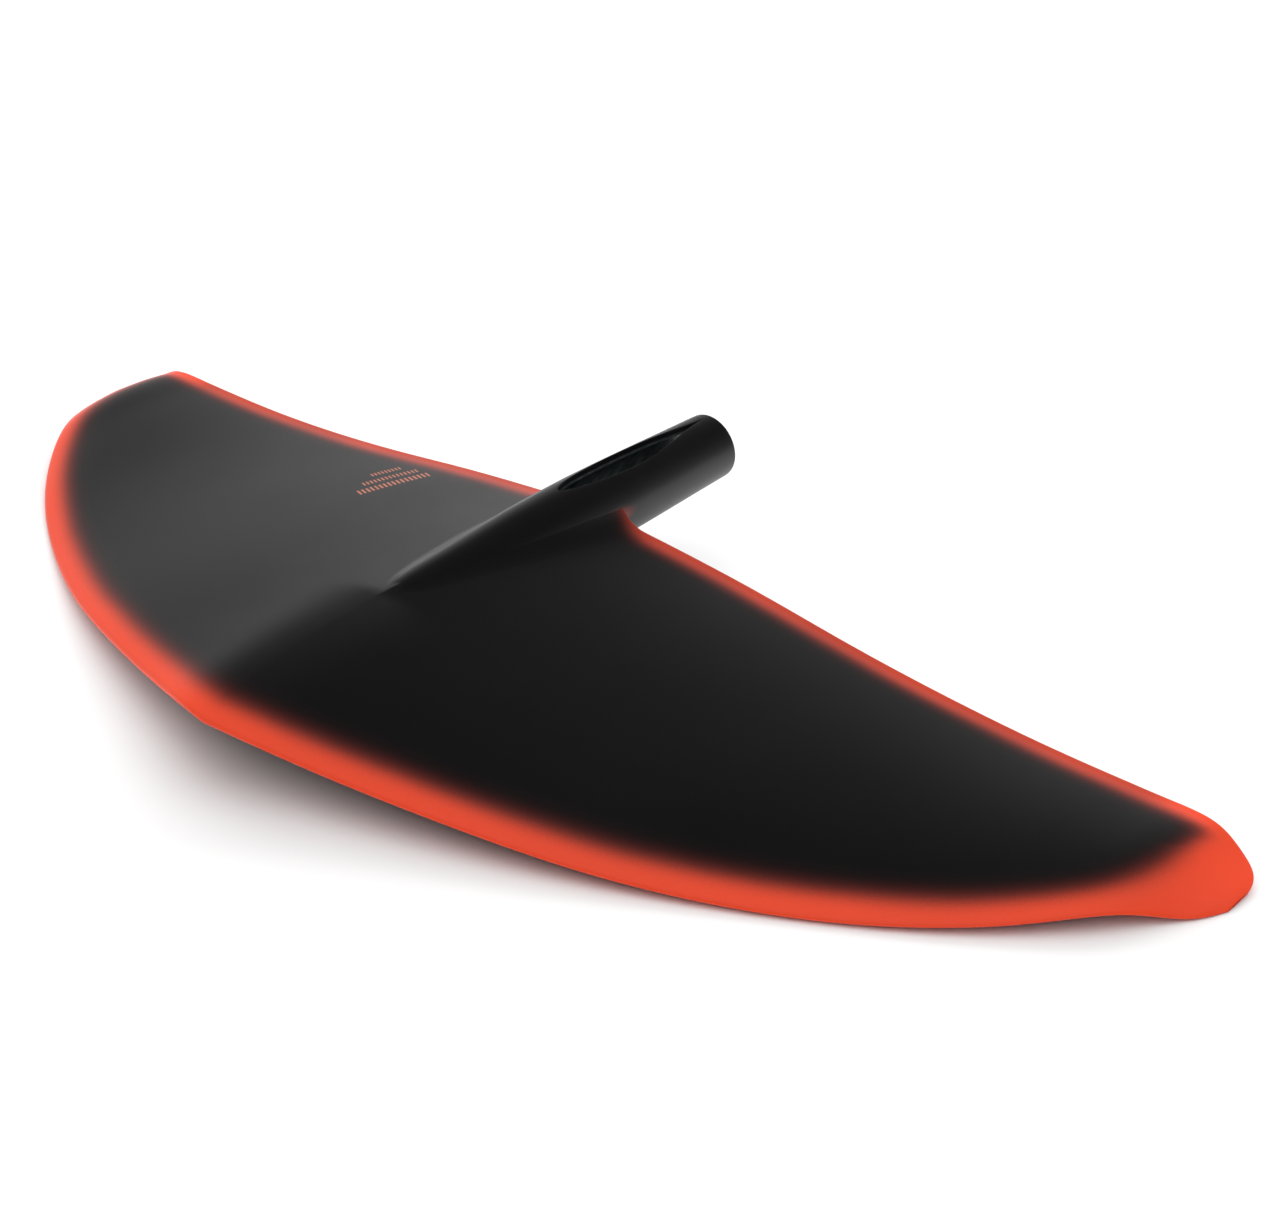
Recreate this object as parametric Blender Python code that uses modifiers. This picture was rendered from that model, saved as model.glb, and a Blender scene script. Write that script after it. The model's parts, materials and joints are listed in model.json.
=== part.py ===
"""Front wing of a water-sports hydrofoil: a carbon wing with a sleeve socket for the fuselage.

The wing is drawn in its flying attitude: +X to the right tip, +Y rearwards along the chord, +Z up.
One empty then pitches the whole part nose down, as it lies on a floor on its tips and leading edge.
"""

import math

import bmesh
import bpy
import numpy as np
from mathutils import Matrix, Vector

MM = 0.001

# Driving dimensions, in metres
GAP = 0.3 * MM
ROOT_SKIN = 1.5 * MM
TIP_SKIN = 0.9 * MM
ROOT_CHORD = 255.5 * MM
EDGE_HALF = 0.5 * MM
REST_PITCH = math.radians(6.25)
STAND_FLAT = 0.2 * MM

HALF_SPAN = 378.5 * MM

# Half outline in millimetres, (distance from the centreline, rearwards). It runs a little past the tip.
LEADING_EDGE = [
    (0, -175), (57, -158.7), (114, -141.4), (171, -121.1), (228, -93.9), (285, -58.6), (326.8, -22.4),
    (348, 2.3), (363, 22.9), (373, 37.3), (379.1, 49.8),
]
TRAILING_EDGE = [
    (0, 74.2), (28, 75.6), (45, 77.6), (62, 79.3), (90, 81), (150, 81.7), (228, 83.9), (290, 85), (325, 85.2),
    (345, 84.8), (357, 83.9), (373.7, 76.7), (379.1, 49.8),
]
# How far the wing droops below its centre, in millimetres, by share of the half span
DROOP = [
    (0, 0), (0.15, -11.1), (0.3, -20), (0.45, -28.3), (0.6, -35.2), (0.7, -37.9), (0.8, -38.9),
    (0.86, -38.9), (0.9, -38.7), (0.935, -41), (0.968, -47.4), (1, -51.8),
]
ROOT_INCIDENCE = -0.025
TIP_INCIDENCE = -0.005

# Section shape as shares of the chord: thickness is A sqrt(c)(1-c) + B c(1-c), camber is C c(1-c)
THICKNESS_NOSE = 0.0865
THICKNESS_BODY = 0.047
CAMBER = 0.0646

# Socket, in its own frame: its axis is +Z, 0 is level with the wing's own origin
SOCKET_TILT = math.radians(-2.6)
SOCKET_DROP = -0.4 * MM
SOCKET_END = 161.6 * MM
SOCKET_WALL = 2.6 * MM
LINER_WALL = 1.0 * MM
# Outer profile in millimetres, (along the axis, radius)
SOCKET_PROFILE = [
    (-74, 0), (-73.2, 4), (-70.5, 8), (-65, 11.6), (-57, 14), (-45, 15.3), (-30, 16.2), (-13, 17), (5, 18.1),
    (25, 19.2), (43, 19.6), (65, 19.8), (90, 19.4), (115, 18.7), (140, 17.9), (158, 17.4), (160.8, 17.2),
    (161.6, 16.5),
]
# Radius of the fillet between socket and wing, at the nose of the fairing and from FILLET_FULL rearwards
FILLET_NOSE = 6 * MM
FILLET = 12.5 * MM
FILLET_START = -60 * MM
FILLET_FULL = -5 * MM
CAVITY_START = 38 * MM
BULKHEAD = 4 * MM
SLOT_START = 48.7 * MM
SLOT_END = 154.4 * MM
SLOT_HALF_WIDTH = 8.3 * MM
SLOT_WIDEST = 98 * MM
SEAT_DROP = 6 * MM
BLOCK_END = 158 * MM

# Threaded inserts for the two fuselage bolts
INSERT_PLACES = {"front_threaded_insert": 80 * MM, "rear_threaded_insert": 118 * MM}
INSERT_RADIUS = 6 * MM
INSERT_FLANGE = 7.5 * MM
INSERT_FLANGE_DEPTH = 1.2 * MM
INSERT_LENGTH = 6.3 * MM
THREAD_RADIUS = 3.4 * MM

# Spar: two carbon caps on a dense web, centred at this share of the chord
SPAR_SHARE = 0.33
SPAR_HALF_WIDTH = 11 * MM
CAP_THICKNESS = 1.2 * MM
# How many stations out from the centre each filler runs
SPAR_LAST = 10
TIP_LAST = 15
LEADING_LAST = 7
TRAILING_LAST = 8

SPAN_STEPS = 18
CHORD_STEPS = 18
# Extra places along the span, where the skins rise to meet the socket
FLARE_STATIONS = [5, 9, 12, 14.5, 17, 19, 21, 23.5, 26, 29]
TURN_STEPS = 36

MATERIALS = {
    # name: (colour, roughness, metallic)
    "satin_black_laminate": ((0.012, 0.012, 0.013), 0.42, 0.0),
    "bare_carbon": ((0.02, 0.023, 0.024), 0.5, 0.0),
    "closed_cell_foam": ((0.72, 0.66, 0.5), 0.9, 0.0),
    "dense_foam": ((0.55, 0.42, 0.25), 0.9, 0.0),
    "unidirectional_carbon": ((0.03, 0.03, 0.032), 0.4, 0.0),
    "glass_epoxy": ((0.1, 0.16, 0.08), 0.5, 0.0),
    "stainless_steel": ((0.6, 0.6, 0.6), 0.3, 1.0),
}


# ---------------------------------------------------------------- smooth curves


def spline(knots, values, at):
    """Natural cubic spline through (knots, values), read at the points in at."""
    t = np.asarray(knots, float)
    v = np.asarray(values, float)
    h = np.diff(t)
    count = len(t)
    system = np.eye(count)
    target = np.zeros(count)
    for i in range(1, count - 1):
        system[i, i - 1 : i + 2] = h[i - 1], 2 * (h[i - 1] + h[i]), h[i]
        target[i] = 6 * ((v[i + 1] - v[i]) / h[i] - (v[i] - v[i - 1]) / h[i - 1])
    bend = np.linalg.solve(system, target)
    at = np.asarray(at, float)
    i = np.clip(np.searchsorted(t, at) - 1, 0, count - 2)
    left, right = at - t[i], t[i + 1] - at
    return (
        (bend[i] * right**3 + bend[i + 1] * left**3) / (6 * h[i])
        + (v[i] / h[i] - bend[i] * h[i] / 6) * right
        + (v[i + 1] / h[i] - bend[i + 1] * h[i] / 6) * left
    )


def fine_curve(points):
    """Many points along a smooth curve through a few, given in millimetres."""
    places = np.array(points) * MM
    steps = np.hypot(*np.diff(places, axis=0).T)
    along = np.concatenate([[0], np.cumsum(steps)])
    fine = np.linspace(0, along[-1], 1500)
    return spline(along, places[:, 0], fine), spline(along, places[:, 1], fine)


LEADING = fine_curve(LEADING_EDGE)
TRAILING = fine_curve(TRAILING_EDGE)


def edges(x):
    """Leading and trailing edge, as places along Y, at this distance from the centreline."""
    return np.interp(abs(x), *LEADING), np.interp(abs(x), *TRAILING)


# ---------------------------------------------------------------- wing section


def middle(x, y):
    """Height of the camber surface, which is also where the two skins meet."""
    front, back = edges(x)
    chord = back - front
    c = np.clip((y - front) / chord, 0, 1)
    share = min(abs(x) / HALF_SPAN, 1)
    droop = spline(*np.array(DROOP).T, share) * MM
    incidence = ROOT_INCIDENCE + (TIP_INCIDENCE - ROOT_INCIDENCE) * share
    return float(droop + y * incidence + CAMBER * chord * c * (1 - c))


def half_thickness(x, y):
    front, back = edges(x)
    chord = back - front
    c = np.clip((y - front) / chord, 0, 1)
    body = THICKNESS_NOSE * math.sqrt(c) * (1 - c) + THICKNESS_BODY * c * (1 - c)
    return float(max(chord * body, EDGE_HALF))


def skin_thickness(x):
    return ROOT_SKIN + (TIP_SKIN - ROOT_SKIN) * abs(x) / HALF_SPAN


def outer(x, y, side):
    """Outer surface: side is 1 for the upper skin and -1 for the lower. It rises to the socket in a fillet."""
    plain = middle(x, y) + side * half_thickness(x, y)
    axis = SOCKET_DROP + y * math.tan(SOCKET_TILT)
    radius = socket_radius(y)
    share = min(max((y - FILLET_START) / (FILLET_FULL - FILLET_START), 0), 1)
    fillet = FILLET_NOSE + (FILLET - FILLET_NOSE) * share
    height = side * (plain - axis) + fillet
    reach = (radius + fillet) ** 2 - height**2
    if y < FILLET_START or reach <= 0:
        return plain
    foot = math.sqrt(reach)
    if abs(x) >= foot:
        return plain
    top = foot * radius / (radius + fillet)
    over = foot - max(abs(x), top)
    return plain + side * (fillet - math.sqrt(fillet**2 - over**2))


def inner(x, y, side):
    """Inner face of a skin. Near the edges, where the section is thin, the skins meet with no hollow."""
    depth = max(half_thickness(x, y) - skin_thickness(x), GAP / 2)
    return middle(x, y) + side * depth


def spar_line(x):
    front, back = edges(x)
    return front + SPAR_SHARE * (back - front)


# ---------------------------------------------------------------- Blender helpers


def clear_scene():
    for item in list(bpy.data.objects):
        bpy.data.objects.remove(item, do_unlink=True)


def make_material(name):
    colour, roughness, metallic = MATERIALS[name]
    material = bpy.data.materials.new(name)
    material.use_nodes = True
    shader = material.node_tree.nodes["Principled BSDF"]
    shader.inputs["Base Color"].default_value = (*colour, 1)
    shader.inputs["Roughness"].default_value = roughness
    shader.inputs["Metallic"].default_value = metallic
    material.diffuse_color = (*colour, 1)
    return material


def make_collection(name):
    collection = bpy.data.collections.new(name)
    bpy.context.scene.collection.children.link(collection)
    return collection


def make_object(name, mesh, collection, parent, material=None):
    item = bpy.data.objects.new(name, mesh)
    collection.objects.link(item)
    item.parent = parent
    if material:
        item.data.materials.append(material)
    return item


def make_cutter(item):
    item.hide_render = True
    item.display_type = "WIRE"
    return item


def cut(item, cutter, operation="DIFFERENCE"):
    modifier = item.modifiers.new("cut by " + cutter.name, "BOOLEAN")
    modifier.operation = operation
    modifier.object = cutter
    modifier.solver = "EXACT"


def finish_mesh(bm, name, smooth_angle=35):
    """A mesh with its faces pointing out, shaded smooth except across sharp edges."""
    bmesh.ops.recalc_face_normals(bm, faces=bm.faces)
    if bm.calc_volume(signed=True) < 0:
        bmesh.ops.reverse_faces(bm, faces=bm.faces)
    mesh = bpy.data.meshes.new(name)
    bm.to_mesh(mesh)
    bm.free()
    mesh.shade_smooth()
    mesh.set_sharp_from_angle(angle=math.radians(smooth_angle))
    return mesh


def loft(name, loops):
    """A closed solid through a row of like-sized loops, with a flat cap at each end."""
    bm = bmesh.new()
    rings = [[bm.verts.new(p) for p in loop] for loop in loops]
    count = len(rings[0])
    for first, second in zip(rings, rings[1:]):
        for i in range(count):
            j = (i + 1) % count
            bm.faces.new((first[i], first[j], second[j], second[i]))
    bm.faces.new(rings[0])
    bm.faces.new(rings[-1])
    return finish_mesh(bm, name)


def turned(name, profile, collection, parent, material=None):
    """A solid of revolution about Z. The profile is a list of (radius, height) that runs down its outer side."""
    mesh = bpy.data.meshes.new(name)
    links = [(i, i + 1) for i in range(len(profile) - 1)]
    if profile[0][0] > 0:
        links.append((len(profile) - 1, 0))
    mesh.from_pydata([(r, 0, z) for r, z in profile], links, [])
    item = make_object(name, mesh, collection, parent, material)
    screw = item.modifiers.new("turn", "SCREW")
    screw.axis = "Z"
    screw.steps = TURN_STEPS
    screw.render_steps = TURN_STEPS
    screw.use_merge_vertices = True
    screw.merge_threshold = 0.00001
    screw.use_smooth_shade = True
    return item


# ---------------------------------------------------------------- wing pieces


def station(k):
    """Place of the k-th station out from the centre. They lie closer together towards the rounded tips."""
    return HALF_SPAN * math.sin(math.pi / 2 * k / SPAN_STEPS)


def span_stations():
    """Places along X over the whole span, for the skins."""
    flare = [x * MM for x in FLARE_STATIONS]
    half = [0] + flare + [station(k) for k in range(1, SPAN_STEPS + 1)]
    return [-x for x in half[:0:-1]] + half


def skin_loop(x, side):
    front, back = edges(x)
    shares = [(k / CHORD_STEPS) ** 2.2 for k in range(CHORD_STEPS + 1)]
    places = [front + (back - front) * c for c in shares]
    outside = [(x, y, outer(x, y, side)) for y in places]
    inside = [(x, y, inner(x, y, side)) for y in places[::-1]]
    return outside + inside


def make_skin(name, side, collection, parent, material):
    mesh = loft(name, [skin_loop(x, side) for x in span_stations()])
    return make_object(name, mesh, collection, parent, material)


def block_loop(x, front, back, top, bottom, steps):
    places = [front + (back - front) * k / steps for k in range(steps + 1)]
    return [(x, y, top(x, y)) for y in places] + [(x, y, bottom(x, y)) for y in reversed(places)]


def make_block(name, xs, front, back, top, bottom, steps, collection, parent, material):
    """A filler that lies between two surfaces, from front(x) to back(x), over the stations xs."""
    loops = [block_loop(x, front(x), back(x), top, bottom, steps) for x in xs]
    return make_object(name, loft(name, loops), collection, parent, material)


def core_top(x, y):
    return inner(x, y, 1) - GAP


def core_bottom(x, y):
    return inner(x, y, -1) + GAP


def chord_place(share):
    def place(x):
        front, back = edges(x)
        return front + share * (back - front)

    return place


def side_stations(first, last, side):
    """Places along X between two stations on one side: side is 1 for the right wing and -1 for the left."""
    start = station(first) + GAP / 2
    return [side * x for x in [start] + [station(k) for k in range(first + 1, last + 1)]]


def make_spar(collection, parent, laminate, dense):
    stations = [station(k) for k in range(-SPAR_LAST, SPAR_LAST + 1)]
    edge = SPAR_HALF_WIDTH

    def front(x):
        return spar_line(x) - edge

    def back(x):
        return spar_line(x) + edge

    def upper_cap_bottom(x, y):
        return core_top(x, y) - CAP_THICKNESS

    def lower_cap_top(x, y):
        return core_bottom(x, y) + CAP_THICKNESS

    def web_top(x, y):
        return upper_cap_bottom(x, y) - GAP

    def web_bottom(x, y):
        return lower_cap_top(x, y) + GAP

    common = (4, collection, parent)
    make_block("upper_spar_cap", stations, front, back, core_top, upper_cap_bottom, *common, laminate)
    make_block("lower_spar_cap", stations, front, back, lower_cap_top, core_bottom, *common, laminate)
    make_block("spar_web", stations, front, back, web_top, web_bottom, *common, dense)


def make_cores(collection, parent, foam, laminate, socket_cutter):
    spar_gap = SPAR_HALF_WIDTH + GAP

    def before_spar(x):
        return spar_line(x) - spar_gap

    def behind_spar(x):
        return spar_line(x) + spar_gap

    nose_start, nose_end = chord_place(0.012), chord_place(0.06)
    tail_end, edge_start, edge_end = chord_place(0.79), chord_place(0.8), chord_place(0.93)
    surfaces = (core_top, core_bottom)
    home = (collection, parent)

    for word, side in (("left", -1), ("right", 1)):
        xs = side_stations(0, SPAR_LAST, side)

        def core_front(x):
            return nose_end(x) + GAP

        make_block(f"front_core_{word}", xs, core_front, before_spar, *surfaces, 6, *home, foam)
        rear = make_block(f"rear_core_{word}", xs, behind_spar, tail_end, *surfaces, 7, *home, foam)
        cut(rear, socket_cutter)
        strip = side_stations(0, LEADING_LAST, side)
        make_block(f"leading_edge_filler_{word}", strip, nose_start, nose_end, *surfaces, 3, *home, laminate)
        strip = side_stations(0, TRAILING_LAST, side)
        tail = make_block(f"trailing_edge_filler_{word}", strip, edge_start, edge_end, *surfaces, 3, *home, laminate)
        cut(tail, socket_cutter)
        tip = side_stations(SPAR_LAST, TIP_LAST, side)
        make_block(
            f"tip_filler_{word}", tip, chord_place(0.1), chord_place(0.8), *surfaces, 5, *home, laminate
        )


# ---------------------------------------------------------------- socket pieces


def socket_radius(z):
    """Outer radius of the socket at a place along its axis."""
    places, radii = np.array(SOCKET_PROFILE).T * MM
    return float(np.interp(z, places, radii))


def socket_outside(grow=0.0):
    """Outer profile from the rear end down to the nose, grown by a margin."""
    points = [(r * MM + grow, z * MM) for z, r in SOCKET_PROFILE[:0:-1]]
    return points + [(0, SOCKET_PROFILE[0][0] * MM - grow)]


def socket_inside(start, end, margin):
    """Profile along the inside of the socket, this far in from its outer surface."""
    knots = [z * MM for z, r in SOCKET_PROFILE]
    places = [start] + [z for z in knots if start < z < end] + [end]
    return [(socket_radius(z) - margin, z) for z in places]


def make_shell(collection, parent, material):
    hollow = socket_inside(-65 * MM, SOCKET_END, SOCKET_WALL)
    nose = (0, -68 * MM)
    profile = [nose] + hollow + socket_outside()
    return turned("socket_shell", profile, collection, parent, material)


def make_liner(collection, parent, material):
    start = CAVITY_START + GAP
    end = BLOCK_END
    outside = socket_inside(start, end, SOCKET_WALL + GAP)[::-1]
    inside = socket_inside(start, end, SOCKET_WALL + GAP + LINER_WALL)
    return turned("socket_liner", outside + inside, collection, parent, material)


def make_plug(name, start, end, collection, parent, material):
    """A solid turned plug that fills the socket's bore between two places."""
    side = socket_inside(start, end, SOCKET_WALL + GAP)[::-1]
    profile = [(0, end)] + side + [(0, start)]
    return turned(name, profile, collection, parent, material)


def slot_half_width(z):
    """Half width of the lens-shaped opening on top of the socket."""
    if z < SLOT_WIDEST:
        u = (SLOT_WIDEST - z) / (SLOT_WIDEST - SLOT_START)
        return SLOT_HALF_WIDTH * (1 - u**2.1) ** 0.62
    u = (z - SLOT_WIDEST) / (SLOT_END - SLOT_WIDEST)
    return SLOT_HALF_WIDTH * (0.5 + 0.5 * math.cos(math.pi * u)) ** 0.75


def make_slot_cutter(collection, parent):
    """A prism with the opening's plan outline. The socket's top is towards -Y in its own frame."""
    steps = 22
    turn = [math.pi * k / steps for k in range(steps + 1)]
    places = [SLOT_START + (SLOT_END - SLOT_START) * (1 - math.cos(a)) / 2 for a in turn]
    right = [(slot_half_width(z), z) for z in places]
    left = [(-w, z) for w, z in right[-2:0:-1]]
    bm = bmesh.new()
    face = bm.faces.new([bm.verts.new((x, 0, z)) for x, z in right + left])
    grown = bmesh.ops.extrude_face_region(bm, geom=[face])
    top = [v for v in grown["geom"] if isinstance(v, bmesh.types.BMVert)]
    bmesh.ops.translate(bm, vec=(0, -30 * MM, 0), verts=top)
    return make_cutter(make_object("slot_cutter", finish_mesh(bm, "slot_cutter"), collection, parent))


def stand_in_seat(item, place):
    """Turns a piece upright at this place along the socket, its own zero level with the seat."""
    item.rotation_euler = (math.radians(90), 0, 0)
    item.location = (0, SEAT_DROP, place)
    return item


def insert_cutters(collection, parent):
    """Stepped holes that take the inserts with their flanges flush."""
    wide, narrow = INSERT_FLANGE + GAP, INSERT_RADIUS + GAP
    step, reach = -INSERT_FLANGE_DEPTH - GAP, 20 * MM
    profile = [(0, reach), (wide, reach), (wide, step), (narrow, step), (narrow, -reach), (0, -reach)]
    cutters = []
    for name, place in INSERT_PLACES.items():
        hole = turned(name + "_hole", profile, collection, parent)
        cutters.append(make_cutter(stand_in_seat(hole, place)))
    return cutters


def make_bolt_block(collection, cutters, parent, material):
    """Dense block on the floor of the bore: the fuselage sits on its flat top, and it holds the inserts."""
    margin = SOCKET_WALL + 2 * GAP + LINER_WALL
    start = CAVITY_START + GAP
    side = socket_inside(start, BLOCK_END, margin)[::-1]
    block = turned("bolt_block", [(0, BLOCK_END)] + side + [(0, start)], collection, parent, material)
    bm = bmesh.new()
    bmesh.ops.create_cube(bm, size=1)
    bmesh.ops.scale(bm, vec=(60 * MM, 40 * MM, 300 * MM), verts=bm.verts)
    keep_out = make_object("seat_cutter", finish_mesh(bm, "seat_cutter"), cutters, parent)
    keep_out.location = (0, SEAT_DROP - 20 * MM, 100 * MM)
    cut(block, make_cutter(keep_out))
    for hole in insert_cutters(cutters, parent):
        cut(block, hole)
    return block


def make_inserts(collection, parent, material):
    """Flanged threaded bushes, upright in the block with their flanges flush with the seat."""
    step = -INSERT_FLANGE_DEPTH
    profile = [
        (THREAD_RADIUS, 0), (INSERT_FLANGE, 0), (INSERT_FLANGE, step), (INSERT_RADIUS, step),
        (INSERT_RADIUS, -INSERT_LENGTH), (THREAD_RADIUS, -INSERT_LENGTH),
    ]
    for name, place in INSERT_PLACES.items():
        stand_in_seat(turned(name, profile, collection, parent, material), place)


# ---------------------------------------------------------------- assembly


def flatten_feet(skin):
    """Trims the lowest points of a skin, so that the wing stands on small flats and not on points."""
    for v in skin.data.vertices:
        place = skin.matrix_world @ v.co
        if place.z < STAND_FLAT:
            place.z = STAND_FLAT
            v.co = skin.matrix_world.inverted() @ place


def lay_at_rest(rest, parts):
    """Moves the part so that it stands on Z = 0, centred over the origin in plan."""
    bpy.context.view_layer.update()
    graph = bpy.context.evaluated_depsgraph_get()
    corners = []
    for item in parts.objects:
        if item.type != "MESH":
            continue
        shown = item.evaluated_get(graph)
        mesh = shown.to_mesh()
        places = np.array([shown.matrix_world @ v.co for v in mesh.vertices])
        corners += [places.min(0), places.max(0)]
        shown.to_mesh_clear()
    low, high = np.min(corners, axis=0), np.max(corners, axis=0)
    middle_place = (low + high) / 2
    rest.location -= Vector((middle_place[0], middle_place[1], low[2]))
    bpy.context.view_layer.update()
    flatten_feet(parts.objects["lower_skin"])
    rest.location.z -= STAND_FLAT
    bpy.context.view_layer.update()


def make_empty(name, collection, parent=None):
    empty = bpy.data.objects.new(name, None)
    collection.objects.link(empty)
    empty.parent = parent
    return empty


def main():
    clear_scene()
    parts = make_collection("hydrofoil_front_wing")
    cutters = make_collection("cutters")
    paint = {name: make_material(name) for name in MATERIALS}
    laminate = paint["satin_black_laminate"]
    carbon = paint["unidirectional_carbon"]

    rest = make_empty("resting_attitude", parts)
    rest.rotation_euler = (REST_PITCH, 0, 0)
    axis = make_empty("socket_axis", parts, rest)
    axis.rotation_euler = (math.radians(-90) + SOCKET_TILT, 0, 0)
    axis.location = (0, 0, SOCKET_DROP)

    room_profile = [(0, SOCKET_END)] + socket_outside(GAP)
    room = make_cutter(turned("socket_room", room_profile, cutters, axis))

    for name, side in (("upper_skin", 1), ("lower_skin", -1)):
        cut(make_skin(name, side, parts, rest, laminate), room)
    make_spar(parts, rest, carbon, paint["dense_foam"])
    make_cores(parts, rest, paint["closed_cell_foam"], carbon, room)

    slot = make_slot_cutter(cutters, axis)
    cut(make_shell(parts, axis, laminate), slot)
    cut(make_liner(parts, axis, paint["bare_carbon"]), slot)
    bulkhead_start = CAVITY_START - BULKHEAD
    make_plug("nose_core", -63 * MM, bulkhead_start - GAP, parts, axis, paint["closed_cell_foam"])
    make_plug("socket_bulkhead", bulkhead_start, CAVITY_START, parts, axis, paint["glass_epoxy"])
    make_bolt_block(parts, cutters, axis, paint["glass_epoxy"])
    make_inserts(parts, axis, paint["stainless_steel"])
    lay_at_rest(rest, parts)


main()
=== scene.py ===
"""Looks of the hydrofoil front wing: sprayed laminate, bare carbon socket, inner pieces, floor and lights."""

import json
import math

import bmesh
import bpy
import numpy as np
from mathutils import Matrix, Vector, kdtree


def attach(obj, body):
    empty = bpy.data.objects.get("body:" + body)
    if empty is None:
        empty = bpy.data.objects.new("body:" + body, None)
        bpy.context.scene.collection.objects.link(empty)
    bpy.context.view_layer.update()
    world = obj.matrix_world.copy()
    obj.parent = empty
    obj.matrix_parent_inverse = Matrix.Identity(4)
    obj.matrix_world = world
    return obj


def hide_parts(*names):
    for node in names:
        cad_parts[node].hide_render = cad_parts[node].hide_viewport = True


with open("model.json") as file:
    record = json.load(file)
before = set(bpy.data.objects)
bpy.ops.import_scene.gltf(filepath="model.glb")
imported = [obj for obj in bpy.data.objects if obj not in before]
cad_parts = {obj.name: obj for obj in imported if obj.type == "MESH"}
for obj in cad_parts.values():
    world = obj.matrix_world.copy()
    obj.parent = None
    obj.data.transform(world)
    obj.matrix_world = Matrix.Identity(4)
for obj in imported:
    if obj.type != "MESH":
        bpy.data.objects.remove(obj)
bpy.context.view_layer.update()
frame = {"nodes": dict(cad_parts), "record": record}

MM = 0.001

# ---------------------------------------------------------------- the wing's shape, as in the CAD model

REST_PITCH = math.radians(6.25)
REST_OFFSET = Vector((0, 0.006065, 0.046755))
LEADING_EDGE = [
    (0, -175), (57, -158.7), (114, -141.4), (171, -121.1), (228, -93.9), (285, -58.6), (326.8, -22.4),
    (348, 2.3), (363, 22.9), (373, 37.3), (378.45, 49.8),
]
TRAILING_EDGE = [
    (0, 74.2), (28, 75.6), (45, 77.6), (62, 79.3), (90, 81), (150, 81.7), (228, 83.9), (290, 85), (325, 85.2),
    (345, 84.8), (357, 83.9), (373.7, 76.7), (378.45, 49.8),
]
DROOP = [
    (0, 0), (0.15, -11.1), (0.3, -20), (0.45, -28.3), (0.6, -35.2), (0.7, -37.9), (0.8, -38.9),
    (0.86, -38.9), (0.9, -38.7), (0.935, -41), (0.968, -47.4), (1, -51.8),
]
ROOT_INCIDENCE, TIP_INCIDENCE = -0.025, -0.005
THICKNESS_NOSE, THICKNESS_BODY, CAMBER = 0.0865, 0.047, 0.0646
EDGE_HALF = 0.5 * MM
HALF_SPAN = 378.45 * MM

SOCKET_TILT = math.radians(-2.6)
SOCKET_DROP = -0.4 * MM
SOCKET_END = 161.6 * MM
SOCKET_WALL = 2.6 * MM
LINER_WALL = 1.0 * MM
SOCKET_PROFILE = [
    (-74, 0), (-73.2, 4), (-70.5, 8), (-65, 11.6), (-57, 14), (-45, 15.3), (-30, 16.2), (-13, 17), (5, 18.1),
    (25, 19.2), (43, 19.6), (65, 19.8), (90, 19.4), (115, 18.7), (140, 17.9), (158, 17.4), (161.6, 17.3),
]
FILLET_NOSE, FILLET = 6 * MM, 12.5 * MM
FILLET_START, FILLET_FULL = -60 * MM, -5 * MM
CAVITY_START = 38 * MM
SLOT_START, SLOT_END, SLOT_WIDEST = 48.7 * MM, 154.4 * MM, 98 * MM
SLOT_HALF_WIDTH = 8.3 * MM

REST = Matrix.Translation(REST_OFFSET) @ Matrix.Rotation(REST_PITCH, 4, "X")
SOCKET_TURN = Matrix.Rotation(math.radians(-90) + SOCKET_TILT, 4, "X")
SOCKET = REST @ Matrix.Translation((0, 0, SOCKET_DROP)) @ SOCKET_TURN


def spline(knots, values, at):
    """Natural cubic spline through (knots, values), read at the points in at."""
    t = np.asarray(knots, float)
    v = np.asarray(values, float)
    h = np.diff(t)
    count = len(t)
    system = np.eye(count)
    target = np.zeros(count)
    for i in range(1, count - 1):
        system[i, i - 1 : i + 2] = h[i - 1], 2 * (h[i - 1] + h[i]), h[i]
        target[i] = 6 * ((v[i + 1] - v[i]) / h[i] - (v[i] - v[i - 1]) / h[i - 1])
    bend = np.linalg.solve(system, target)
    at = np.asarray(at, float)
    i = np.clip(np.searchsorted(t, at) - 1, 0, count - 2)
    left, right = at - t[i], t[i + 1] - at
    return (
        (bend[i] * right**3 + bend[i + 1] * left**3) / (6 * h[i])
        + (v[i] / h[i] - bend[i] * h[i] / 6) * right
        + (v[i + 1] / h[i] - bend[i + 1] * h[i] / 6) * left
    )


def fine_curve(points):
    """Many points along a smooth curve through a few, given in millimetres."""
    places = np.array(points) * MM
    steps = np.hypot(*np.diff(places, axis=0).T)
    along = np.concatenate([[0], np.cumsum(steps)])
    fine = np.linspace(0, along[-1], 4000)
    return spline(along, places[:, 0], fine), spline(along, places[:, 1], fine)


LEADING = fine_curve(LEADING_EDGE)
TRAILING = fine_curve(TRAILING_EDGE)


def edges(x):
    """Places of the leading and the trailing edge at a distance from the centreline."""
    return np.interp(abs(x), *LEADING), np.interp(abs(x), *TRAILING)


def smoothstep(a, b, x):
    t = np.clip((x - a) / (b - a), 0, 1)
    return t * t * (3 - 2 * t)


def smooth_min(a, b, k):
    h = np.clip(0.5 + 0.5 * (b - a) / k, 0, 1)
    return b * (1 - h) + a * h - k * h * (1 - h)


def socket_radius(z):
    """Outer radius of the socket along its axis: straight between the profile's points, rounded a little."""
    places, radii = np.array(SOCKET_PROFILE).T * MM
    spread = np.linspace(-4 * MM, 4 * MM, 9)
    at = np.asarray(z, float)
    near = np.interp(at[..., None] + spread, places, radii).mean(-1)
    sharp = np.interp(at, places, radii)
    keep = smoothstep(-66 * MM, -52 * MM, at)
    return sharp + (np.minimum(near, sharp) - sharp) * keep


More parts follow.
